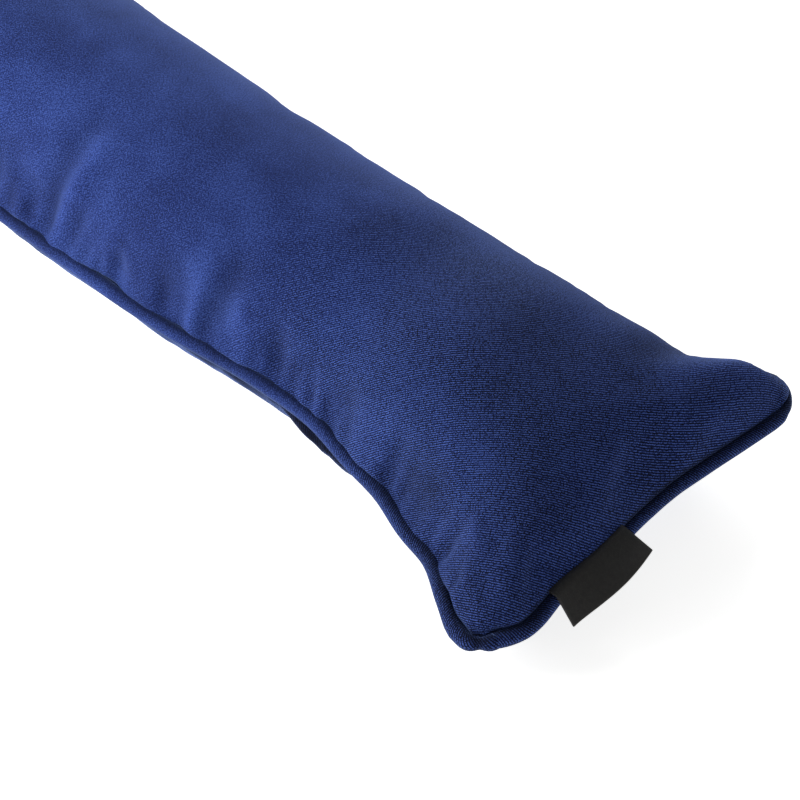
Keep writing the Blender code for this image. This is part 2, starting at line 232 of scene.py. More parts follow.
FOLDS = tuple(starmap(Fold, (
    # at, across, to_at, to_across, width, height
    (0.029, -0.082, 0.016, -0.058, 0.0045, -0.0036),
    (0.071, -0.084, 0.052, -0.055, 0.0085, -0.0048),
    (0.092, -0.084, 0.088, -0.064, 0.0050, 0.0014),
    (0.117, -0.085, 0.111, -0.058, 0.0045, -0.0034),
    (0.126, -0.085, 0.124, -0.064, 0.0040, 0.0016),
    (0.140, -0.085, 0.137, -0.062, 0.0036, -0.0028),
    (0.152, -0.085, 0.152, -0.060, 0.0036, -0.0024),
    (0.170, -0.084, 0.172, -0.054, 0.0050, 0.0018),
    (0.181, -0.086, 0.181, -0.036, 0.0044, -0.0044),
    (0.189, -0.084, 0.190, -0.048, 0.0042, 0.0022),
    (0.203, -0.085, 0.206, -0.052, 0.0070, -0.0034),
    (0.229, -0.085, 0.228, -0.060, 0.0050, -0.0014),
    (0.258, -0.085, 0.257, -0.060, 0.0036, -0.0036),
    (0.265, -0.084, 0.263, -0.026, 0.0036, 0.0027),
    (0.274, -0.086, 0.269, -0.020, 0.0048, -0.0038),
    (0.286, -0.086, 0.283, -0.062, 0.0040, -0.0018),
    (0.300, -0.085, 0.302, -0.050, 0.0065, -0.0026),
    (0.345, -0.085, 0.341, -0.040, 0.0060, -0.0026),
    (0.372, -0.085, 0.374, -0.055, 0.0060, -0.0016),
    (0.430, -0.085, 0.436, -0.030, 0.0065, -0.0032),
    (0.482, -0.085, 0.480, -0.058, 0.0060, -0.0018),
    (0.545, -0.085, 0.541, -0.040, 0.0060, -0.0030),
    (0.612, -0.085, 0.618, -0.055, 0.0060, -0.0022),
    (0.668, -0.085, 0.672, -0.058, 0.0055, -0.0018),
    (0.731, -0.084, 0.748, -0.050, 0.0085, -0.0042),
    (0.038, 0.080, 0.038, 0.022, 0.0068, -0.0048),
    (0.014, 0.062, 0.026, 0.022, 0.0050, 0.0016),
    (0.002, 0.085, 0.010, 0.076, 0.0080, 0.0020),
    (0.112, 0.085, 0.116, 0.050, 0.0060, -0.0026),
    (0.166, 0.085, 0.161, 0.056, 0.0055, -0.0020),
    (0.234, 0.085, 0.238, 0.040, 0.0065, -0.0030),
    (0.311, 0.085, 0.306, 0.052, 0.0060, -0.0024),
    (0.386, 0.085, 0.389, 0.044, 0.0065, -0.0030),
    (0.455, 0.085, 0.452, 0.056, 0.0060, -0.0020),
    (0.528, 0.085, 0.534, 0.040, 0.0065, -0.0030),
    (0.604, 0.085, 0.600, 0.054, 0.0060, -0.0022),
    (0.680, 0.085, 0.684, 0.052, 0.0060, -0.0022),
    (0.738, 0.085, 0.756, 0.040, 0.0085, -0.0046),
    (0.060, 0.004, 0.150, 0.016, 0.0180, -0.0018),
    (0.340, 0.010, 0.400, -0.006, 0.0200, -0.0018),
    (0.560, -0.004, 0.620, 0.010, 0.0200, -0.0018),
)))


def linear(colour):
    """An sRGB hex colour such as "#1b2a63" as the linear RGBA that the shaders use."""
    channels = [int(colour[i : i + 2], 16) / 255 for i in (1, 3, 5)]
    return (*(c / 12.92 if c <= 0.04045 else ((c + 0.055) / 1.055) ** 2.4 for c in channels), 1.0)


def colour_property(name, description, default):
    return bpy.props.FloatVectorProperty(
        name=name, description=description, default=linear(default), size=4, min=0, max=1, subtype="COLOR"
    )


def float_property(name, description, default, **settings):
    return bpy.props.FloatProperty(name=name, description=description, default=default, **settings)


def angle_property(name, description, degrees):
    return float_property(name, description, math.radians(degrees), subtype="ANGLE", unit="ROTATION")


number_property = partial(float_property, min=0)
length_property = partial(float_property, min=0, unit="LENGTH")
power_property = partial(float_property, min=0, unit="POWER")
share_property = partial(float_property, min=0, subtype="FACTOR")


class VelvetSettings(bpy.types.PropertyGroup):
    """The velvet of the panels and the piping."""

    deep: colour_property("Deep", "Between the rows of pile, where little light gets in", "#040716")
    pile: colour_property("Pile", "The dyed pile itself", "#1b2a62")
    tips: colour_property("Tips", "The brushed tips of the pile, where they catch the light", "#4862b0")
    sheen_colour: colour_property("Sheen", "Of the pile seen at a low angle", "#7f9ce8")
    row_pitch: length_property("Row pitch", "From one row of pile to the next", 0.0009)
    tuft_length: length_property("Tuft length", "Along a row, from one tuft to the next", 0.0006)
    relief: length_property("Relief", "Height of the rows of pile", 0.00018)
    row_angle: angle_property("Row angle", "Of the rows on a panel, from its length towards +Y", 131)


class CushionSettings(bpy.types.PropertyGroup):
    """How the cushion is sewn and filled."""

    pressure: number_property("Filling pressure", "Of the filling on the cloth", 4.0)
    ease: share_property("Ease", "Extra cloth along the seams, which gathers into puckers", 0.03, max=0.2)
    pucker_depth: length_property("Pucker depth", "Of the fine puckers along the side seams", 0.0032)
    fill: share_property("Fill", "From slack to tight", 0.75, max=1)


class PipingSettings(bpy.types.PropertyGroup):
    """The covered cord round the edge."""

    radius: length_property("Radius", "Of the covered cord", 0.0032)
    step: length_property("Step", "Between rings of the cover", 0.0010)
    sides: bpy.props.IntProperty(name="Sides", description="Of the cover's round", default=20, min=6, max=48)
    unevenness: share_property("Unevenness", "Of the radius, from the pull of the stitches", 0.05, max=0.3)
    bias: angle_property("Bias", "Of the rows on the cover, from the cord's length", 62)
    tuft_share: number_property("Tuft share", "Length of the cover's tufts, beside those of the panels", 0.8)


class LabelSettings(bpy.types.PropertyGroup):
    """The folded tape in the labelled end's seam."""

    width: length_property("Width", "Along the seam", 0.040)
    across: float_property("Place", "Of its middle, in Y from the centre line", -0.0305, unit="LENGTH")
    length: length_property("Length", "Out of the seam to the fold", 0.0162)
    bow: length_property("Bow", "How much further out the middle of the fold lies", 0.0010)
    thickness: length_property("Thickness", "Of the tape", 0.00035)
    colour: colour_property("Tape", "Of the woven tape", "#201f1f")
    rib_colour: colour_property("Ribs", "Of the ribs of the weave, where they catch the light", "#353432")
    rib_pitch: length_property("Rib pitch", "From one rib of the weave to the next", 0.0005)


class StageSettings(bpy.types.PropertyGroup):
    """The floor, the light and the camera."""

    floor_colour: colour_property("Floor", "Of the plain floor", "#f6f6f5")
    floor_glow: number_property("Floor glow", "Light through the floor", 0.85)
    sky: number_property("Room light", "Even light from all round", 0.15)
    key: power_property("Key lamp", "Beside the near side, low", 6.6)
    back: power_property("Back lamp", "Beside the far side", 2.7)
    fill: power_property("Fill lamp", "Off the labelled end", 1.5)
    azimuth: angle_property("Camera azimuth", "0 looks along +Y, 90 looks along -X", 43.21)
    elevation: angle_property("Camera elevation", "Above the horizon", 45.97)
    roll: angle_property("Camera roll", "Anticlockwise, seen along the view", 3.68)
    distance: length_property("Camera distance", "From the middle of the view", 1.2253)
    focal_pixels: number_property("Focal length", "In pixels of an 800 pixel wide picture", 3076.4)


class ExcluderSettings(bpy.types.PropertyGroup):
    """Everything about the draught excluder that a user would change."""

    velvet: bpy.props.PointerProperty(type=VelvetSettings)
    cushion: bpy.props.PointerProperty(type=CushionSettings)
    piping: bpy.props.PointerProperty(type=PipingSettings)
    label: bpy.props.PointerProperty(type=LabelSettings)
    stage: bpy.props.PointerProperty(type=StageSettings)


def add(tree, kind, inputs=(), **settings):
    """Adds a node. `inputs` gives a socket's name or number with its value, or with what feeds it.

    That is an output, or a node, which stands for its first output.
    """
    made = tree.nodes.new(kind)
    for name, value in settings.items():
        setattr(made, name, value)
    for key, value in dict(inputs).items():
        if isinstance(value, bpy.types.Node):
            value = value.outputs[0]
        if isinstance(value, bpy.types.NodeSocket):
            tree.links.new(value, made.inputs[key])
        else:
            made.inputs[key].default_value = value
    return made


def new_material(name):
    """A material with no nodes yet, and what adds one to it."""
    material = bpy.data.materials.new(name)
    material.use_nodes = True
    material.node_tree.nodes.clear()
    return material, partial(add, material.node_tree)


# Cut-pile cotton velvet, woven and brushed one way: matt, deep in colour where the eye looks into the pile,
# lighter at a low angle where it meets the tips, with the diagonal rows of its twill ground showing through.
def velvet_material(name, settings, angle, tuft_share=1.0):
    """`angle` turns the rows on the piece's `cloth` layout."""
    material, node = new_material(name)
    layout = node("ShaderNodeUVMap", uv_map="cloth")
    place = node("ShaderNodeTexCoord").outputs["Object"]
    pitch = settings.row_pitch * MILLIMETRES
    tuft = settings.tuft_length * MILLIMETRES * tuft_share
    # The rows wander by a fraction of their pitch, over about 6 mm, because the pile is brushed by hand.
    wander = node("ShaderNodeTexNoise", {"Vector": layout, "Scale": 170.0, "Detail": 1.0}).outputs["Color"]
    centred = node("ShaderNodeVectorMath", {0: wander, 1: (0.5, 0.5, 0.5)}, operation="SUBTRACT")
    shift = node("ShaderNodeVectorMath", {0: centred, "Scale": settings.row_pitch * 0.5}, operation="SCALE")
    wandered = node("ShaderNodeVectorMath", {0: layout, 1: shift}, operation="ADD")
    scale = (MILLIMETRES,) * 3
    turned = node("ShaderNodeMapping", {"Vector": wandered, "Rotation": (0, 0, -angle), "Scale": scale})
    rows = node(
        "ShaderNodeTexWave",
        {"Vector": turned, "Scale": math.pi / 10 / pitch, "Distortion": 0.3, "Detail": 1.0},
        bands_direction="Y",
    ).outputs["Fac"]
    # Each row is a string of tufts that stand up by different amounts. Real tufts are a few tenths of
    # a millimetre long, and these are as long as they need to be to show.
    strung = node("ShaderNodeMapping", {"Vector": turned, "Scale": (1 / tuft, 1.5 / pitch, 1)})
    tufts = node("ShaderNodeTexNoise", {"Vector": strung, "Scale": 1.0, "Detail": 1.0, "Roughness": 0.6})
    standing = node("ShaderNodeMapRange", {"Value": tufts, "From Min": 0.36, "From Max": 0.64, "To Min": 0.1})
    row_light = node("ShaderNodeMath", {0: rows, 1: 1.2, 2: 0.02}, operation="MULTIPLY_ADD")
    lit_rows = node("ShaderNodeMath", {0: row_light, 1: standing}, operation="MULTIPLY")
    # Away from the ends, where it is handled, the pile is brushed up, and its tufts hide the rows.
    brushed_up = node("ShaderNodeMath", {0: standing, 1: 0.34, 2: 0.2}, operation="MULTIPLY_ADD")
    end_distance, groove, raised = (
        node("ShaderNodeAttribute", attribute_name=key).outputs["Fac"]
        for key in ("from_end", "from_groove", "raised")
    )
    shown = node(
        "ShaderNodeMapRange",
        {"Value": end_distance, "From Min": 0.09, "From Max": 0.2, "To Min": 1.0, "To Max": 0.08},
        interpolation_type="SMOOTHSTEP",
    )
    seen_rows = node("ShaderNodeMix", {0: shown, 2: brushed_up, 3: lit_rows})
    # Loose fibres, drawn 0.8 mm apart where the real ones are too fine to show, and the clouds of a few
    # centimetres that a hand leaves in the pile.
    fibres = node("ShaderNodeTexNoise", {"Vector": layout, "Scale": 1300.0, "Roughness": 0.7})
    clouds = node("ShaderNodeTexNoise", {"Vector": place, "Scale": 32.0, "Detail": 5.0, "Roughness": 0.6})
    weave = node("ShaderNodeMix", {0: 0.22, 2: seen_rows, 3: fibres})
    tone = node("ShaderNodeMix", {0: 0.26, 2: weave, 3: clouds})
    colour = node("ShaderNodeValToRGB", {"Fac": tone})
    ramp = colour.color_ramp
    ramp.elements[0].position, ramp.elements[0].color = 0.24, settings.deep
    ramp.elements[1].position, ramp.elements[1].color = 0.64, settings.tips
    ramp.elements.new(0.4).color = settings.pile
    # Painted shade and highlight: the colour is darkened beside the seams, in the troughs of the folds and
    # puckers and on the lower panel, and lightened on the folds' ridges.
    open_pile = node(
        "ShaderNodeMapRange",
        {"Value": groove, "From Min": 0.002, "From Max": 0.005, "To Min": 0.22},
        interpolation_type="SMOOTHSTEP",
    )
    folded = node("ShaderNodeMath", {0: raised, 1: 0.55, 2: 1.0}, operation="MULTIPLY_ADD")
    light = node("ShaderNodeMath", {0: open_pile, 1: folded}, operation="MULTIPLY")
    shaded = node("ShaderNodeVectorMath", {0: colour, "Scale": light}, operation="SCALE")
    bump = node("ShaderNodeBump", {"Height": weave, "Distance": settings.relief})
    shader = node("ShaderNodeBsdfPrincipled", {
        "Base Color": shaded, "Roughness": 0.92, "Specular IOR Level": 0.15, "Normal": bump,
        "Sheen Weight": 0.6, "Sheen Roughness": 0.4, "Sheen Tint": settings.sheen_colour,
    })
    node("ShaderNodeOutputMaterial", {"Surface": shader})
    return material


# Damask-woven polyester tape, black: a dense satin face with fine cross ribs, slightly glossy along them.
def tape_material(name, settings):
    material, node = new_material(name)
    layout = node("ShaderNodeUVMap", uv_map="cloth")
    scaled = node("ShaderNodeMapping", {"Vector": layout, "Scale": (MILLIMETRES,) * 3})
    pitch = settings.rib_pitch * MILLIMETRES
    threads = node("ShaderNodeTexBrick", {
        "Vector": scaled, "Color1": (1, 1, 1, 1), "Color2": (0.5, 0.5, 0.5, 1), "Scale": 1.0,
        "Mortar Size": pitch * 0.14, "Mortar Smooth": 0.6, "Brick Width": pitch * 1.6, "Row Height": pitch,
    })
    cloudy = node("ShaderNodeTexNoise", {"Vector": layout, "Scale": 420.0, "Detail": 3.0})
    tone = node("ShaderNodeMix", {0: 0.45, 2: threads, 3: cloudy})
    colour = node("ShaderNodeValToRGB", {"Fac": tone})
    ramp = colour.color_ramp
    ramp.elements[0].position, ramp.elements[0].color = 0.1, settings.colour
    ramp.elements[1].position, ramp.elements[1].color = 0.9, settings.rib_colour
    bump = node("ShaderNodeBump", {"Height": tone, "Distance": 0.00006})
    shader = node("ShaderNodeBsdfPrincipled", {
        "Base Color": colour, "Roughness": 0.55, "Specular IOR Level": 0.35, "Normal": bump,
        "Sheen Weight": 0.1,
    })
    node("ShaderNodeOutputMaterial", {"Surface": shader})
    return material


# Opal acrylic, cast with a satin face and lit from below as a light table is: pale, with soft shadows.
def floor_material(name, settings):
    material, node = new_material(name)
    grain = node("ShaderNodeTexNoise", {"Scale": 40.0})
    even = node("ShaderNodeMapRange", {"Value": grain, "To Min": 0.55, "To Max": 0.65})
    shader = node("ShaderNodeBsdfPrincipled", {
        "Base Color": settings.floor_colour, "Roughness": even, "Specular IOR Level": 0.2,
        "Emission Color": settings.floor_colour, "Emission Strength": settings.floor_glow,
    })
    node("ShaderNodeOutputMaterial", {"Surface": shader})
    return material


def smooth(table, place):
    """The columns of a table at places in its first one, on a smooth curve through its rows."""
    row = type(table[0])
    table = np.array(table)
    last = len(table) - 1
    i = np.clip(np.searchsorted(table[1:, 0], place), 0, last - 1)
    before, here, there, after = (table[np.clip(k, 0, last)] for k in (i - 1, i, i + 1, i + 2))
    span = (there - here)[..., :1]
    t = (np.asarray(place)[..., None] - here[..., :1]) / span
    slope_here = (there - before) / (there - before)[..., :1] * span
    slope_there = (after - here) / (after - here)[..., :1] * span
    values = (
        (2 * t**3 - 3 * t**2 + 1) * here
        + (t**3 - 2 * t**2 + t) * slope_here
        + (3 * t**2 - 2 * t**3) * there
        + (t**3 - t**2) * slope_there
    )
    return row(*np.moveaxis(values, -1, 0))


def arch(t):
    """A quarter circle's rise, from 0 at t = 0 to 1 at t = 1 and beyond."""
    return np.sqrt(1 - (1 - np.clip(t, 0, 1)) ** 2)


def eased(t):
    """A soft step from 0 at t = 0 to 1 at t = 1."""
    t = np.clip(t, 0, 1)
    return t * t * (3 - 2 * t)


def from_end(at):
    return np.minimum(at, LENGTH - at)


def fullness(at, side, shoulder=2.0):
    """How far the fill lifts a panel off its seam, from 0 to 1. `side` runs from -1 to 1 across the panel."""
    return arch(from_end(at) / END_ROUND) * np.maximum(1 - np.abs(side) ** shoulder, 0) ** (1 / shoulder)


def seam_plane_points(at, side):
    """Points of the plane through the seams under a panel's points: on the seam where the fullness is 0."""
    at, side = np.broadcast_arrays(np.asarray(at, float), np.asarray(side, float))
    section = smooth(SECTIONS, at)
    half_width = (section.near + section.far) / 2
    rounding = CORNER * (1 - arch(from_end(at) / CORNER))
    inset = smooth(END_PULLS, side).inset * np.maximum(1 - from_end(at) / END_PULL_REACH, 0)
    x = LENGTH / 2 - at
    y = side * (half_width - rounding)
    z = section.seam + section.tilt * y / half_width
    return np.stack([x - np.copysign(inset, x), y + (section.far - section.near) / 2, z], axis=-1)


def side_of_end(y):
    """Where along the labelled end seam, from -1 to 1, a place at `y` lies."""
    end = SECTIONS[0]
    return (y - (end.far - end.near) / 2) / ((end.far + end.near) / 2 - CORNER)


def fold_height(at, across):
    """How far the folds move the top panel's cloth out or in at places on it."""
    total = np.zeros_like(at)
    for fold in FOLDS:
        start = (fold.at, fold.across)
        run = np.subtract((fold.to_at, fold.to_across), start)
        place = np.stack([at, across], axis=-1) - start
        along = np.clip(place @ run / (run @ run), 0, 1)
        off = np.linalg.norm(place - along[..., None] * run, axis=-1)
        fade = np.maximum(np.cos(along * math.pi / 2), 0) ** 0.7
        total += fold.height * fade * np.exp(-0.5 * (off / fold.width) ** 2)
    return total


def stations(steps, turns=CORNER_TURNS):
    """Distances from the labelled end: close together round the corners, even between them."""
    corner = CORNER * (1 - np.cos(np.radians(turns)))
    between = CORNER + (LENGTH - 2 * CORNER) * np.arange(steps + 1) / steps
    return np.concatenate([corner, between, LENGTH - corner[::-1]])


def sides(columns=COLUMNS):
    """Places across a panel, from -1 to 1, closer together towards the side seams."""
    place = 2 * np.arange(columns + 1) / columns - 1
    return np.sin(math.pi / 2 * (place + 0.5 * np.sin(math.pi * place) / math.pi))


def surface_normals(points):
    """Unit normals of a grid of points whose rows run towards -X and whose columns run towards +Y."""
    normals = np.cross(np.gradient(points, axis=1), np.gradient(points, axis=0))
    return normals / np.maximum(np.linalg.norm(normals, axis=-1, keepdims=True), 1e-12)


def panels():
    """Grids of points of the upper and the lower panel, and of their places on the cloth."""
    at, side = np.meshgrid(stations(ROWS), sides(), indexing="ij")
    across = HALF_PANEL * np.arcsin(side) / (math.pi / 2)
    full = fullness(at, side)
    upper = seam_plane_points(at, side)
    lower = upper.copy()
    section = smooth(SECTIONS, at)
    upper[..., 2] += section.crown * fullness(at, side, section.shoulder) * SLACK_AT_START
    folds = fold_height(at, across) * np.minimum(full / HELD, 1)
    folds[[0, -1], :] = folds[:, [0, -1]] = 0
    rise = (upper[..., 2] - lower[..., 2]) / OVER_CORD_AT
    off_corner = np.hypot(at / OVER_CORD_BARE[0], (HALF_PANEL + across) / OVER_CORD_BARE[1])
    over = OVER_CORD * rise**3 * np.exp(3 - 3 * rise) * (1 - np.exp(-0.5 * off_corner**2))
    normals = surface_normals(upper)
    outward = normals * (1, 1, 0)
    outward /= np.maximum(np.linalg.norm(outward, axis=-1, keepdims=True), 1e-9)
    upper += normals * folds[..., None] + (outward - (0, 0, 0.5)) * over[..., None]
    lower[..., 2] = np.maximum(lower[..., 2] - BELLY * full, 0)
    off_seam = HALF_PANEL + across
    hang = HANG * np.exp(-0.5 * ((at - HANG_AT) / HANG_LENGTH) ** 2)
    lower[..., 1] -= hang * eased((off_seam - 0.003) / 0.007) * (1 - eased((off_seam - 0.011) / 0.016))
    # The last grid is the folds' height as a share, which sets their painted shade and painted highlight.
    return upper, lower, at, across, folds / FOLD_SHOWN


def sewn(name, upper, lower, at, across, raised):
    """One closed mesh of both panels, which share their seam's points, with its layout and attributes."""
    rows, columns = at.shape
    top = np.arange(rows * columns).reshape(rows, columns)
    inner = np.zeros((rows, columns), bool)
    inner[1:-1, 1:-1] = True
    bottom = top.copy()
    bottom[inner] = rows * columns + np.arange(inner.sum())
    points = np.concatenate([upper.reshape(-1, 3), lower[inner]])

    def corners(grid):
        return np.stack([grid[:-1, :-1], grid[:-1, 1:], grid[1:, 1:], grid[1:, :-1]], axis=-1).reshape(-1, 4)

    upward, downward = corners(top), corners(bottom)[:, ::-1]
    mesh = bpy.data.meshes.new(name)
    mesh.from_pydata(points.tolist(), [], np.concatenate([upward, downward]).tolist())
    layout = np.stack([at, across], axis=-1).reshape(-1, 2)
    flat = np.concatenate([layout[corners(top)], layout[corners(top)[:, ::-1]] + (0, PANEL_APART)])
    mesh.uv_layers.new(name="cloth").uv.foreach_set("vector", flat.ravel())

    on_point = np.concatenate([np.arange(rows * columns), top[inner]])
    # Painted shade beside the seams: the nearer a point lies to a seam, the darker its colour, in a narrower
    # band beside the end seams.
    from_groove = np.minimum(HALF_PANEL - np.abs(across), from_end(at) * END_SEAM_OPEN)
    values = {
        "at": at.ravel()[on_point],
        "across": across.ravel()[on_point],
        "upper": np.concatenate([np.where(inner.ravel(), 1.0, 0.5), np.zeros(inner.sum())]),
        "from_seam": np.minimum(HALF_PANEL - np.abs(across), from_end(at)).ravel()[on_point],
        "from_end": from_end(at).ravel()[on_point],
        "from_groove": from_groove.ravel()[on_point],
        "raised": np.concatenate([raised.ravel(), np.full(inner.sum(), -1.0)]),
    }
    # Painted shade on the lower panel: its darkening beside the seams reaches further, and its fold shading
    # is set to full shade (-1) all over.
    values["from_groove"][rows * columns :] *= LOWER_IN_SHADE
    for key, value in values.items():
        store(mesh, key, value)
    edges = read(mesh.edges, "vertices", 2, int)
    on_seam = np.concatenate([~inner.ravel(), np.zeros(inner.sum(), bool)])[edges].all(axis=1)
    crease = mesh.attributes.new("crease_edge", "FLOAT", "EDGE")
    crease.data.foreach_set("value", on_seam.astype(np.float32))
    mesh.edges.foreach_set("use_seam", on_seam)
    mesh.shade_smooth()
    return mesh


def lay_flat(piece):
    """Lays each panel out flat as it was cut, in metres, so that the weave keeps its size and direction."""
    rough = read(piece.data.uv_layers["cloth"].uv, "vector", 2)
    bpy.context.view_layer.objects.active = piece
    piece.select_set(True)
    bpy.ops.object.mode_set(mode="EDIT")
    bpy.ops.mesh.select_all(action="SELECT")
    bpy.ops.uv.unwrap(method="MINIMUM_STRETCH", iterations=5, margin=0.001)
    bpy.ops.object.mode_set(mode="OBJECT")
    piece.select_set(False)
    uv = piece.data.uv_layers["cloth"].uv
    flat = read(uv, "vector", 2)
    points = points_of(piece.data)[read(piece.data.loops, "vertex_index", kind=int)]
    for panel in np.array_split(np.arange(len(rough)), 2):
        given, target = flat[panel], rough[panel]
        middle, target_middle = given.mean(axis=0), target.mean(axis=0)
        u, _, v = np.linalg.svd((given - middle).T @ (target - target_middle))
        quads = given.reshape(-1, 4, 2)
        area = np.abs(np.cross(quads[:, 2] - quads[:, 0], quads[:, 3] - quads[:, 1])).sum()
        solid = points[panel].reshape(-1, 4, 3)
        real = np.linalg.norm(np.cross(solid[:, 2] - solid[:, 0], solid[:, 3] - solid[:, 1]), axis=1).sum()
        flat[panel] = (given - middle) @ (u @ v) * math.sqrt(real / area) + target_middle
    uv.foreach_set("vector", flat.astype(np.float32).ravel())


def read(items, key, size=1, kind=np.float32):
    """A value of each item as an array, or a row of `size` values."""
    values = np.empty(len(items) * size, kind)
    items.foreach_get(key, values)
    values = values if kind is int else values.astype(float)
    return values.reshape(-1, size) if size > 1 else values


def store(mesh, name, values):
    """Keeps a value of each point as an attribute."""
    if name not in mesh.attributes:
        mesh.attributes.new(name, "FLOAT", "POINT")
    mesh.attributes[name].data.foreach_set("value", values.astype(np.float32))


def values_of(mesh, name):
    return read(mesh.attributes[name].data, "value")


def points_of(mesh):
    return read(mesh.vertices, "co", 3)


def set_points(mesh, points):
    mesh.vertices.foreach_set("co", points.astype(np.float32).ravel())
    mesh.update()


def add_group(piece, name, weights):
    """A vertex group with each point's weight."""
    group = piece.vertex_groups.new(name=name)
    for level in np.unique(weights):
        group.add(np.flatnonzero(weights == level).tolist(), float(level), "REPLACE")
    return name


def result_of(piece):
    """A mesh of what a piece's modifiers make of it."""
    graph = bpy.context.evaluated_depsgraph_get()
    return bpy.data.meshes.new_from_object(piece.evaluated_get(graph), depsgraph=graph)


def applied(piece):
    """Replaces the piece's mesh by what its modifiers make of it, and removes them."""
    mesh = result_of(piece)
    piece.modifiers.clear()
    old, piece.data = piece.data, mesh
    name = old.name
    bpy.data.meshes.remove(old)
    mesh.name = name


def fill_cushion(piece, settings):
    """Swells the sewn panels by simulation. The seam and the resting face hold still."""
    start = points_of(piece.data)
    off_seam = values_of(piece.data, "from_seam")
    resting = start[:, 2] < 1e-6
    pinned = np.where(resting | (off_seam < 1e-6), 1.0, 0.0)
    taut = np.round(np.clip((off_seam - 0.006) / 0.014, 0, 1) * 10) / 10
    modifier = piece.modifiers.new("filling", "CLOTH")
    cloth = modifier.settings
    cloth.air_damping = 2
    cloth.use_pressure = True
    cloth.uniform_pressure_force = settings.pressure
    cloth.effector_weights.gravity = 0
    cloth.vertex_group_mass = add_group(piece, "held", pinned)
    cloth.vertex_group_shrink = add_group(piece, "taut", taut)
    cloth.shrink_min = -settings.ease
    modifier.point_cache.frame_end = FRAMES
    scene = bpy.context.scene
    for at_frame in range(1, FRAMES + 1):
        scene.frame_set(at_frame)
    filled = result_of(piece)
    swollen = points_of(filled)
    bpy.data.meshes.remove(filled)
    piece.modifiers.remove(modifier)
    piece.vertex_groups.clear()
    scene.frame_set(1)
    move = swollen - start
    far = np.linalg.norm(move, axis=1)
    limit = np.minimum(MAX_SWELL, off_seam * 0.5)
    move *= (limit / np.maximum(far, limit + 1e-12))[:, None]
    settled = start + move
    settled[:, 2] = np.maximum(settled[:, 2], 0)
    set_points(piece.data, settled)


def pucker_seams(mesh, depth):
    """Presses fine puckers into both panels along the side seams, at uneven distances, as stitches pull."""
    at, across, upper = (values_of(mesh, key) for key in ("at", "across", "upper"))
    off_seam = HALF_PANEL - np.abs(across)
    move = np.zeros(len(at))
    raised = values_of(mesh, "raised")
    chance = random.Random(17)
    for panel in (0, 1):
        for side in (-1, 1):
            place = 0.012
            while place < LENGTH - 0.012:
                width = chance.uniform(0.0016, 0.0032)
                reach = chance.uniform(0.010, 0.026)
                share = chance.uniform(0.2, 1.0)
                lean = chance.uniform(-0.2, 0.3)
                near = (np.abs(at - place) < 0.02) & (np.abs(upper - panel) < 0.6) & (across * side > 0)
                off = off_seam[near]
                off_middle = (at[near] - place - lean * off) / width
                across_it = np.exp(-0.5 * off_middle**2) - 0.5 * np.exp(-0.5 * (off_middle - 2.4) ** 2)
                along_it = eased((off - 0.002) / 0.010) * np.exp(-((off / reach) ** 2))
                move[near] -= depth * (0.3 + 0.7 * panel) * share * across_it * along_it
                # Painted shade in each pucker's trough, and painted highlight on the ridge beside it.
                raised[near] -= share * across_it * along_it
                place += chance.uniform(0.007, 0.016)
    store(mesh, "raised", np.clip(raised, -1, 1))
    points = points_of(mesh) + read(mesh.vertex_normals, "vector", 3) * move[:, None]
    points[:, 2] = np.maximum(points[:, 2], 0)
    set_points(mesh, points)


def draw_to_seam(mesh):
    """Puts the points of the seam back on it, which the smoothing has drawn in at the corners."""
    at, across, off_seam = (values_of(mesh, key) for key in ("at", "across", "from_seam"))
    points = points_of(mesh)
    on_seam = off_seam < 1e-6
    side = np.sin(math.pi / 2 * across[on_seam] / HALF_PANEL)
    points[on_seam] = seam_plane_points(at[on_seam], side) + SHIFT
    set_points(mesh, points)


def add_piece(name, data, materials=()):
    piece = bpy.data.objects.new(name, data)
    bpy.context.scene.collection.objects.link(piece)
    for material in materials:
        data.materials.append(material)
    return piece


def frame_shift():
    """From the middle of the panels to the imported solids' origin."""
    outline = seam_plane_points(*np.meshgrid(stations(ROWS), sides(), indexing="ij"))
    low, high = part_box("cushion")
    middle = (np.array(low) + np.array(high)) / 2
    mine = (outline.min(axis=(0, 1)) + outline.max(axis=(0, 1))) / 2
    return Vector((middle[0] - mine[0], middle[1] - mine[1], 0))


SHIFT = frame_shift()


class EXCLUDER_OT_cushion(bpy.types.Operator):
    """Sews the two velvet panels together and fills them"""

    bl_idname = "excluder.cushion"
    bl_label = "Sew and fill the cushion"

    def execute(self, context):
        settings = context.scene.excluder
        mesh = sewn("filled_cushion", *panels())
        mesh.transform(Matrix.Translation(SHIFT))
        material = velvet_material("cut pile velvet", settings.velvet, settings.velvet.row_angle)
        cushion = add_piece("filled_cushion", mesh, [material])
        lay_flat(cushion)
        fill_cushion(cushion, settings.cushion)
        finer = cushion.modifiers.new("finer cloth", "SUBSURF")
        finer.levels = finer.render_levels = 1
        applied(cushion)
        draw_to_seam(cushion.data)
        pucker_seams(cushion.data, settings.cushion.pucker_depth)
        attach(cushion, "root")
        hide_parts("cushion")
        return {"FINISHED"}


def seam_loop():
    """The seam's points, once round the cushion from the labelled end's -Y corner."""
    rows, across = stations(LOOP_STEPS, range(0, 88, 6)), sides(2 * COLUMNS)
    near, far = (seam_plane_points(rows, side) for side in (-1, 1))
    labelled, plain = (seam_plane_points(at, across[1:-1]) for at in (0, LENGTH))
    return np.concatenate([labelled, far, plain[::-1], near[::-1]])


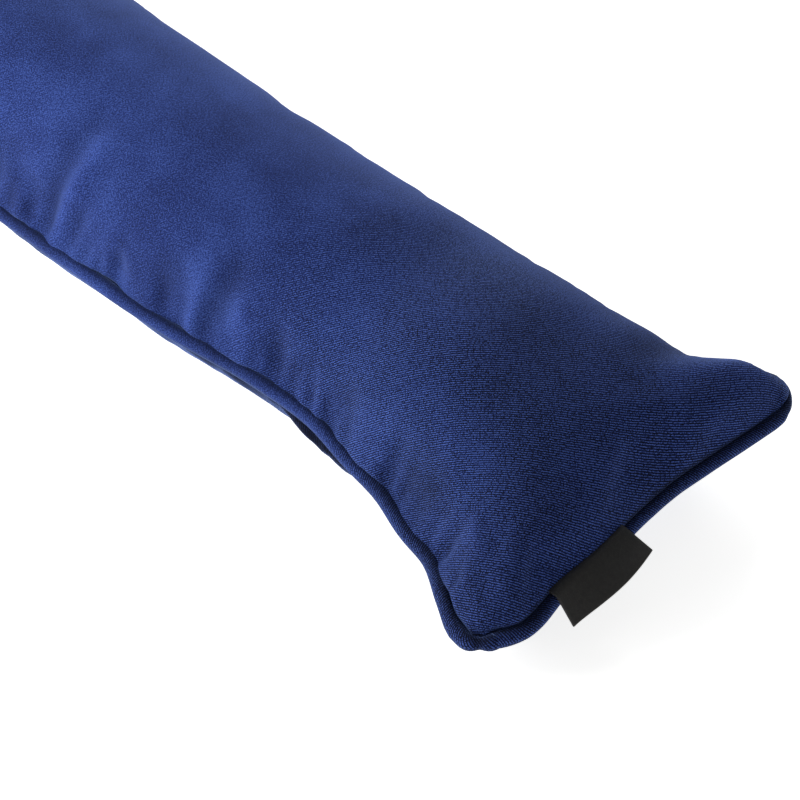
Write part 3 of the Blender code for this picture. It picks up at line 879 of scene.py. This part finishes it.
def piping_path(radius):
    """The cord's middle line, sewn against the seam all the way round, and its thickness as a share along it.

    The stitches nip the cover at each corner, where it turns sharply, and it is full again just beside it.
    """
    loop = seam_loop()
    run = np.roll(loop, -1, axis=0) - np.roll(loop, 1, axis=0)
    out = np.stack([run[:, 1], -run[:, 0], np.zeros(len(run))], axis=1)
    out /= np.linalg.norm(out, axis=1, keepdims=True)
    share = np.ones(len(loop))
    for nip in NIPS:
        corner = seam_plane_points(abs(nip.at - CORNER * (1 - math.sqrt(0.5))), nip.side)
        off = np.linalg.norm(loop - corner, axis=1)
        share -= nip.share * np.exp(-0.5 * (off / nip.reach) ** 2)
        share += nip.full * np.exp(-0.5 * ((off - NIP_BESIDE) / (0.4 * NIP_BESIDE)) ** 2)
    on_near = eased((-loop[:, 1] - 0.03) / 0.02)
    sway = smooth(SWAYS, np.clip(LENGTH / 2 - loop[:, 0], 0, LENGTH)).out * on_near
    middle = loop + out * (radius * SEWN_AGAINST * share + sway)[:, None] - (0, 0, CORD_DROP)
    return middle + SHIFT, share


def path_curve(name, points, share):
    """A closed curve through points, with the share of its full thickness that it has at each."""
    curve = bpy.data.curves.new(name, "CURVE")
    curve.dimensions = "3D"
    spline = curve.splines.new("POLY")
    spline.points.add(len(points) - 1)
    spline.use_cyclic_u = True
    for point, place, radius in zip(spline.points, points, share):
        point.co, point.radius = (*place, 1), radius
    return curve


def covered_cord_tree(name):
    """Geometry nodes: an unevenly round covered cord along a closed path, with places along and round it."""
    tree = bpy.data.node_groups.new(name, "GeometryNodeTree")
    tree.interface.new_socket("Path", in_out="INPUT", socket_type="NodeSocketGeometry")
    for label, kind in (
        ("Radius", "Float"), ("Step", "Float"), ("Sides", "Int"), ("Unevenness", "Float"),
        ("Cover", "Material"),
    ):
        tree.interface.new_socket(label, in_out="INPUT", socket_type="NodeSocket" + kind)
    tree.interface.new_socket("Cord", in_out="OUTPUT", socket_type="NodeSocketGeometry")
    node = partial(add, tree)
    given = node("NodeGroupInput").outputs
    path = node("GeometryNodeResampleCurve", {"Curve": given["Path"], "Length": given["Step"]}, mode="LENGTH")
    upright = node("GeometryNodeSetCurveNormal", {"Curve": path}, mode="Z_UP")
    pulls = node("ShaderNodeTexNoise", {"Scale": 70.0})
    uneven = node("ShaderNodeMath", {0: pulls, 1: 0.5}, operation="SUBTRACT")
    nipped = node("GeometryNodeInputRadius")
    scaled = node("ShaderNodeMath", {0: uneven, 1: given["Unevenness"], 2: nipped}, operation="MULTIPLY_ADD")
    ring = node("GeometryNodeCurvePrimitiveCircle", {"Resolution": given["Sides"], "Radius": given["Radius"]})
    place = node("GeometryNodeSplineParameter").outputs
    measured, turned = (
        node("GeometryNodeStoreNamedAttribute", {"Geometry": line, "Name": name, "Value": value})
        for line, name, value in ((upright, "along", place["Length"]), (ring, "round", place["Factor"]))
    )
    cord = node(
        "GeometryNodeCurveToMesh", {"Curve": measured, "Profile Curve": turned, "Scale": scaled}
    )
    real = node("GeometryNodeRealizeInstances", {0: node("GeometryNodeSetShadeSmooth", {0: cord})})
    covered = node("GeometryNodeSetMaterial", {"Geometry": real, "Material": given["Cover"]})
    node("NodeGroupOutput", {0: covered})
    return tree


def grown(source, tree, values, name):
    """A plain mesh object of what a geometry nodes tree makes of the source. The source is removed."""
    modifier = source.modifiers.new(tree.name, "NODES")
    modifier.node_group = tree
    for item in tree.interface.items_tree:
        if item.name in values:
            modifier[item.identifier] = values[item.name]
    mesh = result_of(source)
    if not mesh.polygons:
        raise RuntimeError(f"{tree.name} made no faces")
    bpy.data.objects.remove(source)
    mesh.name = name
    return add_piece(name, mesh)


def unroll_cord(mesh, radius):
    """Lays the cover out flat, from the places along and round the cord, unbroken where the cord closes."""
    along, turn = values_of(mesh, "along"), values_of(mesh, "round")
    length, girth = along.max(), 2 * math.pi * radius
    turn = turn / (turn.max() + turn[turn > 0].min()) if turn.max() < 1 - 1e-6 else turn
    quads = read(mesh.loops, "vertex_index", kind=int).reshape(-1, 4)
    u, v = along[quads], turn[quads]
    u = np.where(u.max(axis=1, keepdims=True) - u > length / 2, u + length, u)
    v = np.where(v.max(axis=1, keepdims=True) - v > 0.5, v + 1, v)
    mesh.uv_layers.new(name="cloth").uv.foreach_set("vector", np.stack([u, v * girth], axis=-1).ravel())
    seam = seam_loop() + SHIFT
    points = points_of(mesh)
    nearest = np.array([np.linalg.norm(seam - point, axis=1).argmin() for point in points])
    off_seam = np.linalg.norm(seam[nearest] - points, axis=1) * COVER_IN_SHADE
    above = (points - seam[nearest])[:, 2] / radius
    # Painted shade: the cover's colour is darkened on its outermost underside and on its side against the
    # seam.
    lit = 0.1 + 0.9 * eased((above + 0.85) / 0.5)
    store(mesh, "from_groove", off_seam * lit)
    store(mesh, "from_end", from_end(LENGTH / 2 - seam[nearest, 0]) + COVER_BRUSHED)


class EXCLUDER_OT_piping(bpy.types.Operator):
    """Covers a cord in velvet and sews it round the edge"""

    bl_idname = "excluder.piping"
    bl_label = "Pipe the edge"

    def execute(self, context):
        settings = context.scene.excluder
        cover = settings.piping
        # The cover is a strip cut on the bias, so the rows slant across the cord.
        name = "cut pile velvet on the bias"
        material = velvet_material(name, settings.velvet, cover.bias, cover.tuft_share)
        path = add_piece("cord_path", path_curve("cord_path", *piping_path(cover.radius)))
        values = {key: getattr(cover, key.lower()) for key in ("Radius", "Step", "Sides", "Unevenness")}
        values["Cover"] = material
        piping = grown(path, covered_cord_tree("covered cord"), values, "piped_edge")
        unroll_cord(piping.data, cover.radius)
        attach(piping, "root")
        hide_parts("piping")
        return {"FINISHED"}


def tape_path(leave, length, settings, radius):
    """The folded tape's middle line as (out, up) from the seam: over the piping, out to the fold, and back.

    It leaves the piping `leave` degrees round it from straight out, and `length` is that of the lower layer.
    """
    centre = Vector((radius + GAP, 0))
    lower = radius + GAP + settings.thickness / 2
    upper = lower + TAPE_PITCH
    turns = [math.radians(LABEL_START + (leave - LABEL_START) * i / 10) for i in range(11)]
    off = Vector((math.cos(turns[-1]), math.sin(turns[-1])))
    run = Vector((off.y, -off.x))
    straight = length - lower * (turns[0] - turns[-1])

    def layer(reach):
        arc = [centre + reach * Vector((math.cos(turn), math.sin(turn))) for turn in turns]
        return arc + [arc[-1] + run * straight * i / 14 for i in range(1, 15)]

    middle = centre + off * (lower + upper) / 2 + run * straight
    half = TAPE_PITCH / 2
    fold = [
        middle + run * half * math.sin(math.radians(turn)) - off * half * math.cos(math.radians(turn))
        for turn in (30, 60, 90, 120, 150)
    ]
    return layer(lower) + fold + layer(upper)[::-1]


def label_mesh(name, settings, radius):
    """The folded tape as a grid whose columns are paths, and its length. Its -Y side hangs lower."""
    columns = []
    for j in range(LABEL_COLUMNS + 1):
        share = j / LABEL_COLUMNS
        y = settings.across + settings.width * (share - 0.5)
        seam = seam_plane_points(0, side_of_end(y))
        leave = LABEL_LEAVE_NEAR + (LABEL_LEAVE_FAR - LABEL_LEAVE_NEAR) * share
        length = settings.length + settings.bow * (1 - (2 * share - 1) ** 2)
        path = np.array([(out, 0, up) for out, up in tape_path(leave, length, settings, radius)])
        columns.append(path + seam + SHIFT)
    points = np.stack(columns, axis=1)
    steps = np.linalg.norm(np.diff(points, axis=0), axis=-1)
    along = np.concatenate([np.zeros((1, points.shape[1])), steps.cumsum(axis=0)])
    width = np.broadcast_to(settings.width * np.arange(LABEL_COLUMNS + 1) / LABEL_COLUMNS, along.shape)
    index = np.arange(along.size).reshape(along.shape)
    faces = np.stack([index[:-1, :-1], index[1:, :-1], index[1:, 1:], index[:-1, 1:]], axis=-1).reshape(-1, 4)
    mesh = bpy.data.meshes.new(name)
    mesh.from_pydata(points.reshape(-1, 3).tolist(), [], faces.tolist())
    layout = np.stack([along, width], axis=-1).reshape(-1, 2)
    mesh.uv_layers.new(name="cloth").uv.foreach_set("vector", layout[faces].ravel())
    mesh.shade_smooth()
    return mesh, float(along[-1].mean())


class EXCLUDER_OT_label(bpy.types.Operator):
    """Folds a woven tape in two and sews it into the end seam"""

    bl_idname = "excluder.label"
    bl_label = "Sew in the label"

    def execute(self, context):
        settings = context.scene.excluder
        mesh, tape_length = label_mesh("folded_label", settings.label, settings.piping.radius)
        label = add_piece("folded_label", mesh, [tape_material("woven polyester tape", settings.label)])
        thickness = label.modifiers.new("tape thickness", "SOLIDIFY")
        thickness.thickness = settings.label.thickness
        thickness.offset = 0
        applied(label)
        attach(label, "root")
        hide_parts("label")
        return {"FINISHED"}


def add_lamp(name, size, power, place):
    """A soft rectangular lamp."""
    data = bpy.data.lights.new(name, "AREA")
    data.shape = "RECTANGLE"
    data.size, data.size_y = size
    data.energy = power
    lamp = add_piece(name, data)
    lamp.visible_camera = False
    lamp.location = place
    lamp.rotation_euler = (Vector(LIT_AT) - Vector(place)).to_track_quat("-Z", "Y").to_euler()


def add_camera(settings):
    """The camera, which looks at the cushion's labelled part."""
    a, e, r = settings.azimuth, settings.elevation, settings.roll
    back = Vector((math.sin(a) * math.cos(e), -math.cos(a) * math.cos(e), math.sin(e)))
    right = Vector((math.cos(a), math.sin(a), 0))
    up = back.cross(right)
    right, up = right * math.cos(r) + up * math.sin(r), up * math.cos(r) - right * math.sin(r)
    target = Vector(LOOKED_AT) + SHIFT
    data = bpy.data.cameras.new("camera")
    data.sensor_width = SENSOR
    data.lens = settings.focal_pixels * SENSOR / PHOTO_WIDTH
    data.clip_start, data.clip_end = 0.01, 100
    camera = add_piece("camera", data)
    turn = Matrix((right, up, back)).transposed().to_4x4()
    camera.matrix_world = Matrix.Translation(target + back * settings.distance) @ turn
    bpy.context.scene.camera = camera


class EXCLUDER_OT_stage(bpy.types.Operator):
    """Lays the floor, and sets the lamps and the camera"""

    bl_idname = "excluder.stage"
    bl_label = "Set the stage"

    def execute(self, context):
        settings = context.scene.excluder.stage
        mesh = bpy.data.meshes.new("floor")
        corners = [(x * FLOOR_HALF, y * FLOOR_HALF, 0) for x, y in ((-1, -1), (1, -1), (1, 1), (-1, 1))]
        mesh.from_pydata(corners, [], [(0, 1, 2, 3)])
        floor = add_piece("floor", mesh, [floor_material("opal acrylic", settings)])
        world = bpy.data.worlds.new("studio")
        world.use_nodes = True
        background = world.node_tree.nodes["Background"]
        background.inputs["Color"].default_value = linear("#fbfcff")
        background.inputs["Strength"].default_value = settings.sky
        context.scene.world = world
        add_lamp("key lamp", (0.5, 0.35), settings.key, (-0.26, -0.50, 0.32))
        add_lamp("back lamp", (0.5, 0.35), settings.back, (-0.10, 0.50, 0.40))
        add_lamp("fill lamp", (0.6, 0.4), settings.fill, (1.25, -0.55, 0.40))
        context.scene.view_settings.view_transform = "Standard"
        add_camera(settings)
        return {"FINISHED"}


class EXCLUDER_PT_sidebar(bpy.types.Panel):
    """The draught excluder's steps, in order"""

    bl_idname = "EXCLUDER_PT_sidebar"
    bl_label = "Draught excluder"
    bl_space_type = "VIEW_3D"
    bl_region_type = "UI"
    bl_category = "Draught excluder"

    def draw(self, context):
        for operator in OPERATORS:
            self.layout.operator(operator.bl_idname)


OPERATORS = (EXCLUDER_OT_cushion, EXCLUDER_OT_piping, EXCLUDER_OT_label, EXCLUDER_OT_stage)
CLASSES = (
    VelvetSettings, CushionSettings, PipingSettings, LabelSettings, StageSettings, ExcluderSettings,
    *OPERATORS, EXCLUDER_PT_sidebar,
)


def register():
    for made in CLASSES:
        bpy.utils.register_class(made)
    bpy.types.Scene.excluder = bpy.props.PointerProperty(type=ExcluderSettings)


def unregister():
    del bpy.types.Scene.excluder
    for made in reversed(CLASSES):
        bpy.utils.unregister_class(made)


def main():
    register()
    bpy.ops.excluder.cushion()
    bpy.ops.excluder.piping()
    bpy.ops.excluder.label()
    bpy.ops.excluder.stage()


if __name__ == "__main__":
    main()
